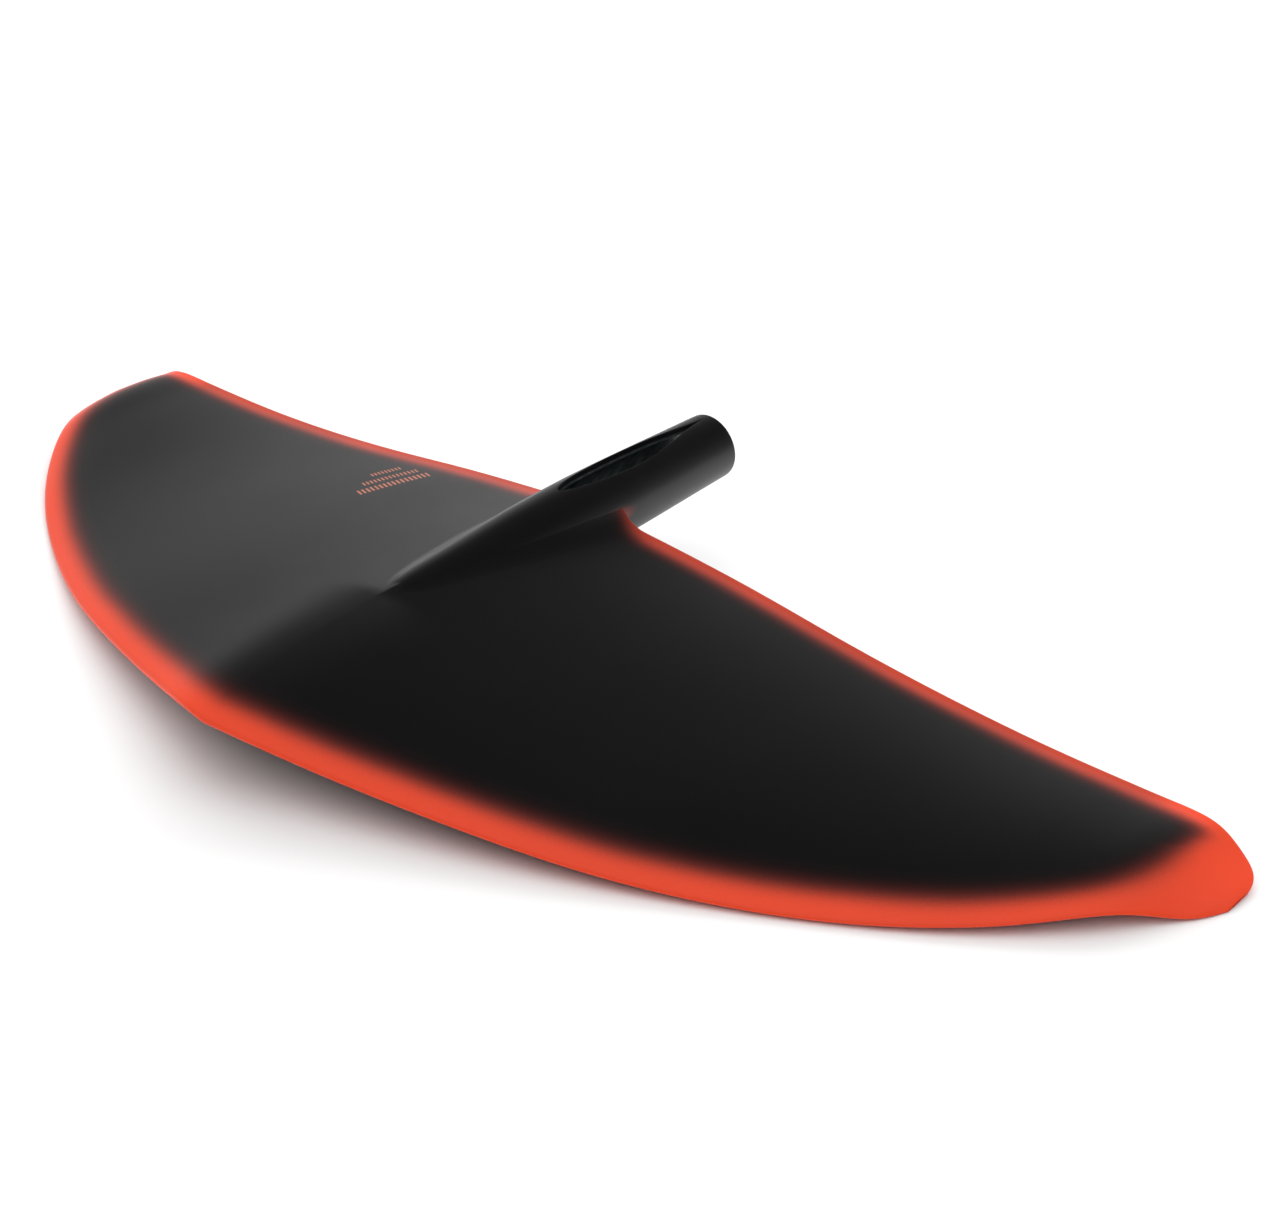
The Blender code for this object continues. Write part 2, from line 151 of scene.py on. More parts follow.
def middle(x, y):
    """Height of the section's middle line, with droop, incidence and camber."""
    front, back = edges(x)
    chord = np.maximum(back - front, 1e-6)
    c = np.clip((y - front) / chord, 0, 1)
    share = np.minimum(abs(x) / HALF_SPAN, 1)
    droop = spline(*np.array(DROOP).T, share) * MM
    incidence = ROOT_INCIDENCE + (TIP_INCIDENCE - ROOT_INCIDENCE) * share
    return droop + y * incidence + CAMBER * chord * c * (1 - c)


def half_thickness(x, y, rim):
    """Half the section's thickness. The rim is rounded over its last half millimetre."""
    front, back = edges(x)
    chord = np.maximum(back - front, 1e-6)
    c = np.clip((y - front) / chord, 0, 1)
    body = chord * (THICKNESS_NOSE * np.sqrt(c) * (1 - c) + THICKNESS_BODY * c * (1 - c))
    round_off = np.sqrt(np.clip(1 - (1 - np.clip(rim / EDGE_HALF, 0, 1)) ** 2, 0, 1))
    return np.maximum(body, EDGE_HALF) * round_off


def fillet_at(y, plain, side):
    """Fillet between skin and socket: its radius, its foot on the wing and its top on the socket."""
    axis = SOCKET_DROP + y * math.tan(SOCKET_TILT)
    radius = socket_radius(y)
    share = np.clip((y - FILLET_START) / (FILLET_FULL - FILLET_START), 0, 1)
    fillet = FILLET_NOSE + (FILLET - FILLET_NOSE) * share
    height = side * (plain - axis) + fillet
    reach = (radius + fillet) ** 2 - height**2
    reach = np.where(y < FILLET_START, 0, np.maximum(reach, 0))
    foot = np.sqrt(reach)
    return fillet, foot, foot * radius / (radius + fillet)


def skin_height(x, y, rim, side):
    """Height of the upper (side 1) or lower (side -1) surface, with its fillet to the socket."""
    plain = middle(x, y) + side * half_thickness(x, y, rim)
    fillet, foot, top = fillet_at(y, plain, side)
    over = np.clip(foot - np.maximum(abs(x), top), 0, fillet)
    return plain + side * (fillet - np.sqrt(np.maximum(fillet**2 - over**2, 0)))


# ---------------------------------------------------------------- mesh helpers


def to_world(points, matrix=REST):
    m = np.array(matrix)
    return points @ m[:3, :3].T + m[:3, 3]


def new_object(name, vertices, faces):
    mesh = bpy.data.meshes.new(name)
    mesh.from_pydata(vertices.tolist() if isinstance(vertices, np.ndarray) else vertices, [], faces)
    mesh.validate()
    item = bpy.data.objects.new(name, mesh)
    bpy.context.scene.collection.objects.link(item)
    return item


def face_out(item):
    bm = bmesh.new()
    bm.from_mesh(item.data)
    bmesh.ops.remove_doubles(bm, verts=bm.verts, dist=2e-6)
    bmesh.ops.dissolve_degenerate(bm, edges=bm.edges, dist=1e-6)
    bmesh.ops.recalc_face_normals(bm, faces=bm.faces)
    bm.to_mesh(item.data)
    bm.free()
    item.data.shade_smooth()
    return item


def set_attribute(item, name, values):
    attribute = item.data.attributes.new(name, "FLOAT", "POINT")
    attribute.data.foreach_set("value", np.asarray(values, np.float32))


def nearest(points, line):
    """Distance in plan from each point to a dense line of points."""
    tree = kdtree.KDTree(len(line))
    for i, (x, y) in enumerate(line):
        tree.insert((x, y, 0), i)
    tree.balance()
    return np.array([tree.find((x, y, 0))[2] for x, y in points])


# ---------------------------------------------------------------- wing skins

RIM_STEPS = [0, 0.04, 0.12, 0.25, 0.42, 0.65, 1, 1.5, 2.2, 3.2, 4.6, 6.4, 8.6, 11.2, 14.2, 18]
INNER_COLUMNS, FILLET_COLUMNS, OUTER_COLUMNS = 6, 12, 12
OUTER_REACH = 72 * MM


def chord_rows(front, back, middle_rows=34):
    """Places along the chord for one column: close together at both rims."""
    chord = back - front
    scale = np.minimum(1, chord / (95 * MM))
    steps = np.array(RIM_STEPS) * MM
    head = front + scale * steps
    tail = back - scale * steps[::-1]
    inner = np.linspace(head[-1], tail[0], middle_rows + 2)[1:-1]
    return np.concatenate([head, inner, tail])


def base_columns():
    inner = np.linspace(0, 1, INNER_COLUMNS + 1)[:-1]
    fillet = 1 + np.linspace(0, 1, FILLET_COLUMNS + 1)[:-1]
    outer_part = 2 + np.linspace(0, 1, OUTER_COLUMNS + 1)[:-1]
    return np.concatenate([inner, fillet, outer_part])


def fillet_edges(y, side):
    """Where the fillet meets the wing and the socket, as distances from the centreline, at each row."""
    guess = np.full_like(y, 20 * MM)
    for _ in range(6):
        plain = middle(guess, y) + side * half_thickness(guess, y, MM)
        _, foot, top = fillet_at(y, plain, side)
        guess = np.maximum(foot, MM)
    return foot, top


def inboard_column(s, y, side):
    """Distance from the centreline of one inboard column at each row.

    s is 0 to 1 under the socket, 1 to 2 over the fillet and 2 to 3 on the wing. Ahead of the fairing's nose
    the columns open out again."""
    foot, top = fillet_edges(y, side)
    started = foot > 1.5 * MM
    nose = y[started].min() if started.any() else 0
    near = smoothstep(nose - 30 * MM, nose, y)
    foot = np.where(started, np.maximum(foot, 2.5 * MM), (20 - 17.5 * near) * MM)
    top = np.where(started, np.maximum(top, MM), (10 - 9 * near) * MM)
    if s < 1:
        return top * s
    if s < 2:
        return top + (foot - top) * np.where(started, 1 - math.cos((s - 1) * math.pi / 2), s - 1)
    return foot + (OUTER_REACH - foot) * (s - 2) ** 1.25


def skin_grid(side):
    """Points of the right half of one skin, on a grid of (column, row)."""
    columns = []
    for s in base_columns():
        rough = s * 20 * MM if s < 2 else (40 + (s - 2) * 30) * MM
        y = chord_rows(*edges(rough))
        for _ in range(3):
            x = inboard_column(s, y, side)
            y = chord_rows(edges(x[0])[0], edges(x[-1])[1])
        x = inboard_column(s, y, side)
        y = np.clip(y, *edges(x))
        y[0], y[-1] = edges(x[0])[0], edges(x[-1])[1]
        columns.append(np.stack([x, y], -1))
    straight = np.linspace(OUTER_REACH, 0.86 * HALF_SPAN, 54)[:-1]
    tip_turn = np.linspace(math.asin(0.86), math.pi / 2, 34)
    for x in np.concatenate([straight, HALF_SPAN * np.sin(tip_turn)]):
        y = chord_rows(*edges(x))
        columns.append(np.stack([np.full_like(y, x), y], -1))
    plan = np.stack(columns)
    rim_line = np.concatenate([np.stack(LEADING, -1), np.stack(TRAILING, -1)])
    rim = nearest(plan.reshape(-1, 2), rim_line).reshape(plan.shape[:2])
    rim[rim < 0.03 * MM] = 0
    rim[:, 0] = 0
    rim[:, -1] = 0
    height = skin_height(plan[..., 0], plan[..., 1], rim, side)
    return np.concatenate([plan, height[..., None]], -1)


# Where the spray has half faded, from the edge or from the centreline, and the width of its fade
FRONT_BAND, FRONT_NARROWER, FRONT_FADE = 10 * MM, 1.2 * MM, 2.3 * MM
# The rear band's narrowing beside the socket is painted shade: it darkens the band where the socket shades
# and darkly reflects onto the wing
REAR_BAND, REAR_SHADE_NARROWING, REAR_FADE = 7.3 * MM, 10.3 * MM, 2.0 * MM
BELOW_NARROWER = 3 * MM
TIP_FIELD = 353.5 * MM
FULL_SPRAY, THIN_SPRAY = -4, 3.8


def paint_depth(plan, side):
    """How far a point lies inside the black field, in widths of the fade: negative in the sprayed rim.

    The rear band narrows beside the socket, as painted shade and dark reflection of the socket on the wing,
    and is sprayed thinner than the front band and the tips."""
    x = abs(plan[..., 0])
    flat = np.stack([x.ravel(), plan[..., 1].ravel()], -1)
    front = nearest(flat, np.stack(LEADING, -1)).reshape(plan.shape[:-1])
    back = nearest(flat, np.stack(TRAILING, -1)).reshape(plan.shape[:-1])
    below = BELOW_NARROWER if side < 0 else 0
    front = front - (FRONT_BAND - below - FRONT_NARROWER * smoothstep(250 * MM, 310 * MM, x))
    # Painted shade: beside the socket the rear band is pulled towards black, standing in for the socket's
    # shade and dark reflection on the wing
    back = back + (REAR_SHADE_NARROWING - REAR_BAND) - REAR_SHADE_NARROWING * smoothstep(12 * MM, 42 * MM, x)
    tip = TIP_FIELD - x
    inside = smooth_min(smooth_min(front, tip, 14 * MM), back, 6 * MM)
    thin = np.where(back < front, 1 - smoothstep(315 * MM, 350 * MM, x), 0)
    least = THIN_SPRAY * thin + FULL_SPRAY
    depth = inside / np.where(back < front, REAR_FADE, FRONT_FADE)
    return least + np.log1p(np.exp(np.minimum(depth - least, 60))) + np.maximum(depth - least - 60, 0)


def grid_normals(grid):
    """Area-weighted vertex normals of a grid of points."""
    across = grid[1:, 1:] - grid[:-1, :-1]
    other = grid[:-1, 1:] - grid[1:, :-1]
    face = np.cross(across, other)
    normals = np.zeros_like(grid)
    normals[:-1, :-1] += face
    normals[1:, :-1] += face
    normals[:-1, 1:] += face
    normals[1:, 1:] += face
    return normals


# The crease on the centreline is shaded softly this far to each side, ahead of the fairing's nose
CREASE_REACH = 42 * MM
CREASE_END, CREASE_FADE = -61 * MM, 8 * MM


def make_skins():
    grids, normals = {}, {}
    for side in (1, -1):
        half = skin_grid(side)
        mirrored = half[:0:-1].copy()
        mirrored[..., 0] *= -1
        grids[side] = np.concatenate([mirrored, half])
        normals[side] = grid_normals(grids[side]) * side
        soft = smoothstep(0, CREASE_REACH, abs(grids[side][..., 0]))
        ahead = 1 - smoothstep(CREASE_END - CREASE_FADE, CREASE_END, grids[side][..., 1])
        normals[side][..., 0] *= 1 - ahead * (1 - soft)
    for row in (0, -1):
        together = normals[1][:, row] + normals[-1][:, row]
        normals[1][:, row] = together
        normals[-1][:, row] = together
    pieces = {}
    for side, name, node in ((1, "upper_laminate", "upper_skin"), (-1, "lower_laminate", "lower_skin")):
        grid = grids[side]
        columns, rows = grid.shape[:2]
        centre = columns // 2
        index = np.arange(columns * rows).reshape(columns, rows)
        design = grid.reshape(-1, 3)
        faces = []
        for i in range(columns - 1):
            hidden = centre - INNER_COLUMNS <= i < centre + INNER_COLUMNS
            for j in range(rows - 1):
                if hidden and grid[i, j, 1] > -15 * MM:
                    continue
                quad = [index[i, j], index[i + 1, j], index[i + 1, j + 1], index[i, j + 1]]
                faces.append(quad if side > 0 else quad[::-1])
        places = to_world(design)
        places[:, 2] = np.maximum(places[:, 2], 0)
        item = new_object(name, places, [[int(k) for k in f] for f in faces])
        turned_normals = normals[side].reshape(-1, 3) @ np.array(REST)[:3, :3].T
        length = np.linalg.norm(turned_normals, axis=1, keepdims=True)
        turned_normals = np.where(length > 1e-12, turned_normals / np.maximum(length, 1e-12), (0, 0, side))
        set_attribute(item, "paint_depth", paint_depth(design[:, :2], side))
        item.data.shade_smooth()
        item.data.normals_split_custom_set_from_vertices(turned_normals.tolist())
        bm = bmesh.new()
        bm.from_mesh(item.data)
        loose = [v for v in bm.verts if not v.link_faces]
        bmesh.ops.delete(bm, geom=loose, context="VERTS")
        bm.to_mesh(item.data)
        bm.free()
        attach(item, "root")
        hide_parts(node)
        pieces[name] = item
    return pieces


# ---------------------------------------------------------------- socket


def slot_half_width(z):
    z = np.asarray(z, float)
    u = np.clip((SLOT_WIDEST - z) / (SLOT_WIDEST - SLOT_START), 0, 1)
    front = (1 - u**2.1) ** 0.62
    v = np.clip((z - SLOT_WIDEST) / (SLOT_END - SLOT_WIDEST), 0, 1)
    rear = (0.5 + 0.5 * np.cos(math.pi * v)) ** 0.75
    return SLOT_HALF_WIDTH * np.where(z < SLOT_WIDEST, front, rear)


def slot_outline(count=56):
    """One side of the slot in plan, from front to rear: points on its edge, and the way out from it.

    Both are (sideways, along the axis). At the pointed rear end the way out turns a quarter circle."""
    turn = np.linspace(0, math.pi, count)
    z = SLOT_START + (SLOT_END - SLOT_START) * (1 - np.cos(turn)) / 2
    edge = np.stack([slot_half_width(z), z], -1)
    step = np.gradient(edge, axis=0)
    out = np.stack([step[:, 1], -step[:, 0]], -1)
    out[0], out[-1] = (0, -1), (1, 0)
    out /= np.linalg.norm(out, axis=1, keepdims=True)
    corner = np.linspace(0, math.pi / 2, 7)[1:]
    edge = np.concatenate([edge, np.repeat(edge[-1:], len(corner), 0)])
    out = np.concatenate([out, np.stack([np.cos(corner), np.sin(corner)], -1)])
    return edge, out


def grid_faces(count, width, first=0):
    index = np.arange(count * width).reshape(count, width) + first
    quads = np.stack([index[:-1, :-1], index[1:, :-1], index[1:, 1:], index[:-1, 1:]], -1)
    return quads.reshape(-1, 4).tolist()


def turned_rows(rows, columns):
    """A wall of revolution about the socket's axis. Each row is (along it, radius, slot's half width)."""
    share = np.linspace(0, 1, columns + 1)
    points = []
    for z, radius, half in rows:
        start = math.asin(min(half / radius, 1)) if radius > half else 0.0
        angle = start + (2 * math.pi - 2 * start) * share
        points.append(np.stack([radius * np.sin(angle), -radius * np.cos(angle), np.full_like(angle, z)], -1))
    return np.array(points)


def slot_wall(rim, outer, inner, steps=5):
    """The slot's wall on one side: a rounded rim of this radius, then straight down to the inner surface."""
    edge, out = slot_outline()
    rings = []
    for k in range(steps + 1):
        turn = math.pi / 2 * k / steps
        plan = edge + out * rim * (1 - math.sin(turn))
        depth = rim * (1 - math.cos(turn))
        rise = np.sqrt(np.maximum(outer(plan[:, 1]) ** 2 - plan[:, 0] ** 2, 0)) - depth
        rings.append(np.stack([plan[:, 0], -rise, plan[:, 1]], -1))
    rise = np.sqrt(np.maximum(inner(edge[:, 1]) ** 2 - edge[:, 0] ** 2, 0))
    rings.append(np.stack([edge[:, 0], -rise, edge[:, 1]], -1))
    return np.array(rings)


def slotted_tube(name, before, rim, outer, inner, after, closing, columns):
    """A tube with the slot through its top. before and after are places along the axis ahead of and behind
    the slot, and closing is a list of (along the axis, radius) rows from the outer surface's end inwards."""
    edge, out = slot_outline()
    wide = edge + out * rim
    inside_edge = edge[: len(edge) - 6]
    rows = [(z, float(outer(z)), 0.0) for z in before["outer"]]
    rows += [(z, float(outer(z)), max(half, 0.0)) for half, z in wide]
    rows += [(z, float(outer(z)), 0.0) for z in after]
    rows += [(z, radius, 0.0) for z, radius in closing]
    rows += [(z, float(inner(z)), 0.0) for z in after[::-1]]
    rows += [(z, float(inner(z)), half) for half, z in inside_edge[::-1]]
    rows += [(z, float(inner(z)), 0.0) for z in before["inner"]]
    grid = turned_rows(rows, columns)
    points = [grid.reshape(-1, 3)]
    faces = grid_faces(*grid.shape[:2])
    wall = slot_wall(rim, outer, inner)
    for side in (1, -1):
        faces += grid_faces(*wall.shape[:2], sum(len(p) for p in points))
        points.append(wall.reshape(-1, 3) * (side, 1, 1))
    item = face_out(new_object(name, to_world(np.concatenate(points), SOCKET), faces))
    item.data.set_sharp_from_angle(angle=math.radians(42))
    return item


def make_shell():
    def outer(z):
        return np.maximum(socket_radius(z) - 0.03 * MM, 0)

    def inner(z):
        return outer(z) - SOCKET_WALL

    nose = [-74, -73.9, -73.6, -73, -72, -70.5, -68.5, -66, -63, -60, -57, -53, -48, -42, -35, -27, -18, -9]
    before = {
        "outer": [z * MM for z in nose] + list(np.linspace(0, 47.4, 14) * MM),
        "inner": [z * MM for z in (47.4, 46, 42, 38, 34.5)],
    }
    after = [156 * MM, 158 * MM]
    lip = 1.0 * MM
    outside = float(outer(158 * MM)) - 0.15 * MM - lip
    bore = float(outer(161 * MM)) - SOCKET_WALL - 0.85 * MM
    closing = []
    for k in range(9):
        turn = math.pi / 2 * k / 8
        closing.append((SOCKET_END - lip + lip * math.sin(turn), outside + lip * math.cos(turn)))
    for k in range(1, 6):
        turn = math.pi / 2 * k / 5
        closing.append((SOCKET_END - 0.5 * MM * (1 - math.cos(turn)), bore + 0.5 * MM * (1 - math.sin(turn))))
    return slotted_tube("socket_laminate", before, 0.55 * MM, outer, inner, after, closing, 112)


def make_liner():
    def outer(z):
        return socket_radius(z) - SOCKET_WALL - 0.07 * MM

    def inner(z):
        return socket_radius(z) - SOCKET_WALL - 0.33 * MM - LINER_WALL

    lead = [CAVITY_START + 0.3 * MM, 43 * MM, 47 * MM]
    tail = [156 * MM, 157.9 * MM]
    before = {"outer": lead, "inner": [*lead[::-1], lead[0]]}
    return slotted_tube("socket_weave", before, 0.15 * MM, outer, inner, tail, [], 104)


def make_socket():
    shell, liner = make_shell(), make_liner()
    rows = ((shell, "socket_shell", "socket_shell"), (liner, "socket_liner", "bare_carbon"))
    for item, node, finish in rows:
        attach(item, "root")
        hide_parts(node)
    spray = []
    back = SOCKET.inverted()
    for v in shell.data.vertices:
        p = back @ v.co
        side_angle = abs(math.atan2(abs(p.x), -p.y))
        along = (p.z - 70 * MM) / (13 * MM)
        around = (side_angle - math.radians(84)) * 19.5 / 4.6
        spray.append(math.exp(-(along**2) - around**2))
    set_attribute(shell, "overspray", spray)
    return shell, liner


# ---------------------------------------------------------------- materials


class Shader:
    """Short names for building one node material."""

    def __init__(self, name):
        self.material = bpy.data.materials.new(name)
        self.material.use_nodes = True
        self.tree = self.material.node_tree
        self.main = self.tree.nodes["Principled BSDF"]

    def node(self, kind, **settings):
        item = self.tree.nodes.new(kind)
        for key, value in settings.items():
            setattr(item, key, value)
        return item

    def put(self, target, value):
        if isinstance(value, bpy.types.NodeSocket):
            self.tree.links.new(value, target)
        else:
            target.default_value = value

    def math(self, operation, *values, clamp=False):
        item = self.node("ShaderNodeMath", operation=operation, use_clamp=clamp)
        for target, value in zip(item.inputs, values):
            self.put(target, value)
        return item.outputs[0]

    def vector(self, operation, *values):
        item = self.node("ShaderNodeVectorMath", operation=operation)
        for target, value in zip(item.inputs, values):
            self.put(target, value)
        return item.outputs["Value" if operation in ("DOT_PRODUCT", "LENGTH") else "Vector"]

    def position(self, scale=(1, 1, 1), turn=(0, 0, 0)):
        source = self.node("ShaderNodeTexCoord").outputs["Object"]
        mapping = self.node("ShaderNodeMapping")
        self.put(mapping.inputs["Vector"], source)
        mapping.inputs["Scale"].default_value = scale
        mapping.inputs["Rotation"].default_value = turn
        return mapping.outputs[0]

    def noise(self, vector, scale, detail=3.0, roughness=0.5, distortion=0.0):
        item = self.node("ShaderNodeTexNoise")
        self.put(item.inputs["Vector"], vector)
        item.inputs["Scale"].default_value = scale
        item.inputs["Detail"].default_value = detail
        item.inputs["Roughness"].default_value = roughness
        item.inputs["Distortion"].default_value = distortion
        return item.outputs["Fac"]

    def attribute(self, name):
        return self.node("ShaderNodeAttribute", attribute_name=name).outputs["Fac"]

    def range(self, value, low, high, out_low=0.0, out_high=1.0, smooth=False):
        item = self.node("ShaderNodeMapRange")
        item.interpolation_type = "SMOOTHSTEP" if smooth else "LINEAR"
        for target, given in zip(item.inputs[:5], (value, low, high, out_low, out_high)):
            self.put(target, given)
        return item.outputs[0]

    def mix(self, factor, first, second):
        item = self.node("ShaderNodeMix", data_type="RGBA")
        self.put(item.inputs[0], factor)
        self.put(item.inputs[6], first if isinstance(first, bpy.types.NodeSocket) else (*first, 1))
        self.put(item.inputs[7], second if isinstance(second, bpy.types.NodeSocket) else (*second, 1))
        return item.outputs[2]

    def bump(self, height, distance, strength=1.0, normal=None):
        item = self.node("ShaderNodeBump")
        item.inputs["Distance"].default_value = distance
        item.inputs["Strength"].default_value = strength
        self.put(item.inputs["Height"], height)
        if normal is not None:
            self.put(item.inputs["Normal"], normal)
        return item.outputs[0]

    def finish(self, colour, roughness, normal=None, **constants):
        self.put(self.main.inputs["Base Color"], colour)
        self.put(self.main.inputs["Roughness"], roughness)
        if normal is not None:
            self.put(self.main.inputs["Normal"], normal)
        for key, value in constants.items():
            self.main.inputs[key.replace("_", " ")].default_value = value
        return self.material


BLACK = (0.0036, 0.0034, 0.0038)
BLACK_2 = (0.0050, 0.0048, 0.0052)
ORANGE = (0.95, 0.062, 0.008)
ORANGE_2 = (0.89, 0.051, 0.006)
PRINT = (0.50, 0.15, 0.08)


def marks(s):
    """Three slanted rows of plain dashes on the left half, behind the middle of the chord."""
    def surface(x, y):
        rim = np.array([20 * MM])
        z = skin_height(np.array([x]), np.array([y]), rim, 1)[0]
        return REST @ Vector((x, y, float(z)))

    start, end = surface(-109 * MM, 62 * MM), surface(-116.5 * MM, 18.5 * MM)
    beside = surface(-119 * MM, 62 * MM)
    along = (end - start).normalized()
    across = (beside - start).normalized()
    across = (across - along * across.dot(along)).normalized()
    place = s.vector("SUBTRACT", s.position(), tuple(start))
    u = s.vector("DOT_PRODUCT", place, tuple(along))
    v = s.vector("DOT_PRODUCT", place, tuple(across))
    total = None
    for offset, low, high, half, pitch, fill in (
        (0.0, 0.0, 44.0, 3.2, 2.6, 0.5), (10.2, 0.5, 34.0, 2.5, 2.3, 0.45), (20.4, 4.5, 23.0, 2.3, 2.1, 0.45),
    ):
        side = s.math("SUBTRACT", v, offset * MM)
        slanted = s.math("ADD", u, s.math("MULTIPLY", side, 0.22))
        inside = s.math("LESS_THAN", s.math("ABSOLUTE", side), half * MM)
        after = s.math("GREATER_THAN", slanted, low * MM)
        before = s.math("LESS_THAN", slanted, high * MM)
        cycle = s.math("FRACT", s.math("DIVIDE", s.math("SUBTRACT", slanted, low * MM), pitch * MM))
        dash = s.math("LESS_THAN", cycle, fill)
        row = s.math("MULTIPLY", s.math("MULTIPLY", inside, dash), s.math("MULTIPLY", after, before))
        total = row if total is None else s.math("MAXIMUM", total, row)
    return total


def make_paint(name, attribute, with_marks=False):
    """Satin black lacquer over carbon, with an orange rim sprayed on and faded out."""
    s = Shader(name)
    place = s.position()
    cloud = s.noise(place, 9.0, 4.0)
    speck = s.noise(place, 2600.0, 1.0)
    grain = s.noise(place, 420.0, 2.0)
    if attribute == "paint_depth":
        drift = s.math("MULTIPLY", s.math("SUBTRACT", s.noise(place, 14.0, 2.0), 0.5), 1.0)
        depth = s.math("ADD", s.attribute(attribute), drift)
        dusty = s.math("MULTIPLY", s.math("SUBTRACT", speck, 0.5), 1.6)
        falling = s.math("EXPONENT", s.math("ADD", depth, dusty))
        orange = s.math("DIVIDE", 1.0, s.math("ADD", 1.0, falling))
    else:
        dusty = s.math("MULTIPLY", s.math("SUBTRACT", speck, 0.5), 0.35)
        orange = s.range(s.math("ADD", s.attribute(attribute), dusty), 0.2, 1.15, 0.0, 0.3, smooth=True)
    black = s.mix(cloud, BLACK, BLACK_2)
    bright = s.mix(cloud, ORANGE, ORANGE_2)
    colour = s.mix(orange, black, bright)
    if with_marks:
        colour = s.mix(s.math("MULTIPLY", marks(s), 0.8), colour, PRINT)
    roughness = s.math("ADD", s.range(cloud, 0.3, 0.7, 0.36, 0.42), s.math("MULTIPLY", grain, 0.03))
    peel = s.noise(place, 170.0, 2.0)
    normal = s.bump(peel, 0.02 * MM, 0.35)
    normal = s.bump(speck, 0.004 * MM, 0.25, normal)
    return s.finish(colour, roughness, normal, Coat_Weight=0.12, Coat_Roughness=0.22)


def twill(s, place, size):
    """A 2 by 2 twill: each square of the weave shows its lengthwise or its crosswise tow."""
    parts = s.node("ShaderNodeSeparateXYZ")
    s.put(parts.inputs[0], place)
    a = s.math("DIVIDE", parts.outputs[0], size)
    b = s.math("DIVIDE", parts.outputs[1], size)
    step = s.math("ADD", s.math("FLOOR", a), s.math("FLOOR", b))
    over = s.math("LESS_THAN", s.math("FLOORED_MODULO", step, 4.0), 2.0)
    hump_a = s.math("SINE", s.math("MULTIPLY", s.math("FRACT", b), math.pi))
    hump_b = s.math("SINE", s.math("MULTIPLY", s.math("FRACT", a), math.pi))
    lengthwise = s.math("MULTIPLY", over, hump_a)
    crosswise = s.math("MULTIPLY", s.math("SUBTRACT", 1.0, over), hump_b)
    return over, s.math("ADD", lengthwise, crosswise)


def unrolled(s):
    """Coordinates on the socket's wall: (round the axis, along the axis), in metres."""
    back = SOCKET.inverted()
    source = s.node("ShaderNodeTexCoord").outputs["Object"]
    x_axis, y_axis, z_axis = (tuple(back.to_3x3()[k]) for k in range(3))
    shifted = s.vector("SUBTRACT", source, tuple(SOCKET.translation))
    x = s.vector("DOT_PRODUCT", shifted, x_axis)
    y = s.vector("DOT_PRODUCT", shifted, y_axis)
    z = s.vector("DOT_PRODUCT", shifted, z_axis)
    angle = s.math("MULTIPLY", s.math("ARCTAN2", x, y), 16 * MM)
    joined = s.node("ShaderNodeCombineXYZ")
    s.put(joined.inputs[0], angle)
    s.put(joined.inputs[1], z)
    return joined.outputs[0]


def make_weave(name):
    s = Shader(name)
    flat = unrolled(s)
    over, hump = twill(s, flat, 2.1 * MM)
    place = s.position()
    fibre = s.noise(s.position((1, 1, 1)), 1900.0, 2.0)
    cloud = s.noise(place, 120.0, 4.0, 0.6)
    bare = s.mix(over, (0.045, 0.056, 0.059), (0.092, 0.108, 0.114))
    bare = s.mix(s.range(cloud, 0.35, 0.7), bare, (0.022, 0.028, 0.029))
    bare = s.mix(s.math("MULTIPLY", fibre, 0.25), bare, (0.05, 0.058, 0.06))
    roughness = s.range(cloud, 0.3, 0.7, 0.3, 0.5)
    normal = s.bump(hump, 0.12 * MM, 0.8)
    normal = s.bump(fibre, 0.02 * MM, 0.4, normal)
    return s.finish(bare, roughness, normal, Coat_Weight=0.25, Coat_Roughness=0.15)


def make_laminate(name):
    """Sawn and machined glass laminate: thin layers in its edges, faint tool marks."""
    s = Shader(name)
    place = s.position()
    parts = s.node("ShaderNodeSeparateXYZ")
    s.put(parts.inputs[0], place)
    layers = s.math("SINE", s.math("MULTIPLY", parts.outputs[2], 2 * math.pi / (0.5 * MM)))
    cloud = s.noise(place, 60.0, 3.0)
    colour = s.mix(s.range(layers, -1.0, 1.0), (0.018, 0.022, 0.019), (0.045, 0.052, 0.042))
    colour = s.mix(s.math("MULTIPLY", cloud, 0.5), colour, (0.03, 0.035, 0.03))
    tool = s.noise(s.position((1, 0.05, 1)), 3000.0, 2.0)
    normal = s.bump(tool, 0.02 * MM, 0.5)
    return s.finish(colour, s.range(cloud, 0.3, 0.7, 0.45, 0.62), normal)


def make_foam(name, light, dark, cell):
    s = Shader(name)
    place = s.position()
    cells = s.node("ShaderNodeTexVoronoi")
    s.put(cells.inputs["Vector"], place)
    cells.inputs["Scale"].default_value = cell
    cloud = s.noise(place, 25.0, 3.0)
    colour = s.mix(s.range(cells.outputs["Distance"], 0.0, 0.7), dark, light)
    colour = s.mix(s.math("MULTIPLY", cloud, 0.3), colour, dark)
    normal = s.bump(cells.outputs["Distance"], 0.15 * MM, 0.7)
    return s.finish(colour, s.range(cloud, 0.3, 0.7, 0.82, 0.95), normal)


def make_strip(name):
    """One-way carbon: fine straight tows along the span, under a thin film of resin."""
    s = Shader(name)
    tows = s.noise(s.position((0.03, 1, 1)), 900.0, 3.0)
    broad = s.noise(s.position((0.08, 1, 1)), 160.0, 2.0)
    cloud = s.noise(s.position(), 30.0, 3.0)
    colour = s.mix(tows, (0.008, 0.008, 0.009), (0.034, 0.034, 0.037))
    colour = s.mix(s.math("MULTIPLY", broad, 0.4), colour, (0.016, 0.016, 0.018))
    normal = s.bump(tows, 0.05 * MM, 0.6)
    return s.finish(colour, s.range(cloud, 0.3, 0.7, 0.3, 0.42), normal)


